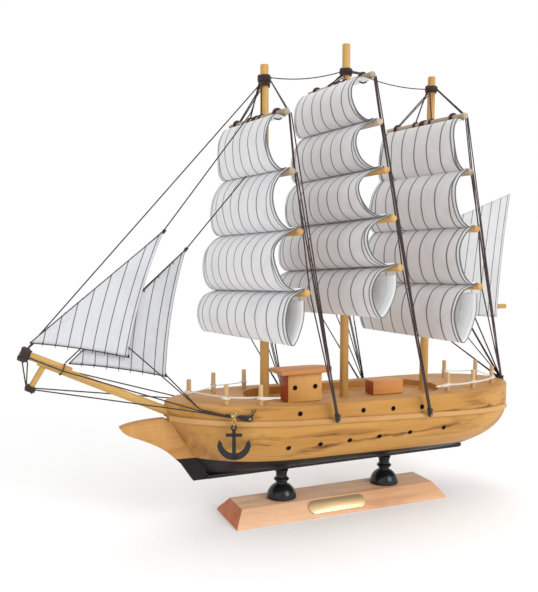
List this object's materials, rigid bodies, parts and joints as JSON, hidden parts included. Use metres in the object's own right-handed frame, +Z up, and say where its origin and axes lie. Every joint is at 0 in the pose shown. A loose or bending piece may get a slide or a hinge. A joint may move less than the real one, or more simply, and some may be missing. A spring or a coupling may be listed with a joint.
{
  "type": "model sailing ship",
  "caption": "Wooden model of a square-rigged sailing ship with striped cloth sails, thread rigging and hanging anchors, on a block stand with turned pillars.",
  "frame": {"origin": "centre of the stand's underside", "axes": "+X towards the stern, +Y to starboard, +Z up along the masts"},
  "size_m": [0.331, 0.146, 0.2957],
  "materials": {
    "pine": "clear varnished pine with brown grain",
    "stand_wood": "clear varnished, slightly pink wood",
    "cabin_wood": "stained orange-brown, satin",
    "spar_wood": "varnished bamboo",
    "black_paint": "gloss black paint on turned wood",
    "cloth": "off-white woven cotton with thin dark stripes, stiffened",
    "thread": "dark brown twisted thread",
    "brass": "pale polished brass",
    "iron": "dark blackened metal, matt"
  },
  "bodies": {
    "ship": {"stand_base": "stand_wood", "pillar_fore": "black_paint", "pillar_aft": "black_paint", "name_plate": "brass", "hull": "pine", "stem_board": "pine", "keel_strip": "black_paint", "rub_rail_port": "pine", "rub_rail_starboard": "pine", "deckhouse": "cabin_wood", "deckhouse_roof": "cabin_wood", "hatch": "cabin_wood", "fore_rail": "spar_wood", "aft_rail": "spar_wood", "fore_mast": "spar_wood", "fore_yard_1": "spar_wood", "fore_sail_1": "cloth", "fore_yard_2": "spar_wood", "fore_sail_2": "cloth", "fore_yard_3": "spar_wood", "fore_sail_3": "cloth", "fore_yard_4": "spar_wood", "fore_sail_4": "cloth", "main_mast": "spar_wood", "main_yard_1": "spar_wood", "main_sail_1": "cloth", "main_yard_2": "spar_wood", "main_sail_2": "cloth", "main_yard_3": "spar_wood", "main_sail_3": "cloth", "main_yard_4": "spar_wood", "main_sail_4": "cloth", "main_yard_5": "spar_wood", "main_sail_5": "cloth", "mizzen_mast": "spar_wood", "mizzen_yard_1": "spar_wood", "mizzen_sail_1": "cloth", "mizzen_yard_2": "spar_wood", "mizzen_sail_2": "cloth", "mizzen_yard_3": "spar_wood", "mizzen_sail_3": "cloth", "mizzen_yard_4": "spar_wood", "mizzen_sail_4": "cloth", "bowsprit": "spar_wood", "dolphin_striker": "spar_wood", "spanker_boom": "spar_wood", "outer_jib": "cloth", "inner_jib": "cloth", "spanker": "cloth", "fore_shrouds": "thread", "main_shrouds": "thread", "mizzen_shrouds": "thread", "bow_rigging": "thread", "anchor_nail_port": "iron", "anchor_nail_starboard": "iron"},
    "anchor_chain_port": {"anchor_chain_port": "brass"},
    "anchor_port": {"anchor_port": "iron"},
    "anchor_chain_starboard": {"anchor_chain_starboard": "brass"},
    "anchor_starboard": {"anchor_starboard": "iron"}
  },
  "joints": [
    {"name": "port_anchor_chain_swing", "type": "hinge", "parent": "ship", "child": "anchor_chain_port", "pos_m": [-0.08131, -0.03274, 0.0733], "axis": [-0.3761, -0.9266, 0], "range_deg": [-60, 60]},
    {"name": "port_anchor_swing", "type": "hinge", "parent": "anchor_chain_port", "child": "anchor_port", "pos_m": [-0.08131, -0.03274, 0.06573], "axis": [-0.3761, -0.9266, 0], "range_deg": [-75, 75]},
    {"name": "starboard_anchor_chain_swing", "type": "hinge", "parent": "ship", "child": "anchor_chain_starboard", "pos_m": [-0.08131, 0.03274, 0.0733], "axis": [-0.3761, 0.9266, 0], "range_deg": [-60, 60]},
    {"name": "starboard_anchor_swing", "type": "hinge", "parent": "anchor_chain_starboard", "child": "anchor_starboard", "pos_m": [-0.08131, 0.03274, 0.06573], "axis": [-0.3761, 0.9266, 0], "range_deg": [-75, 75]}
  ]
}
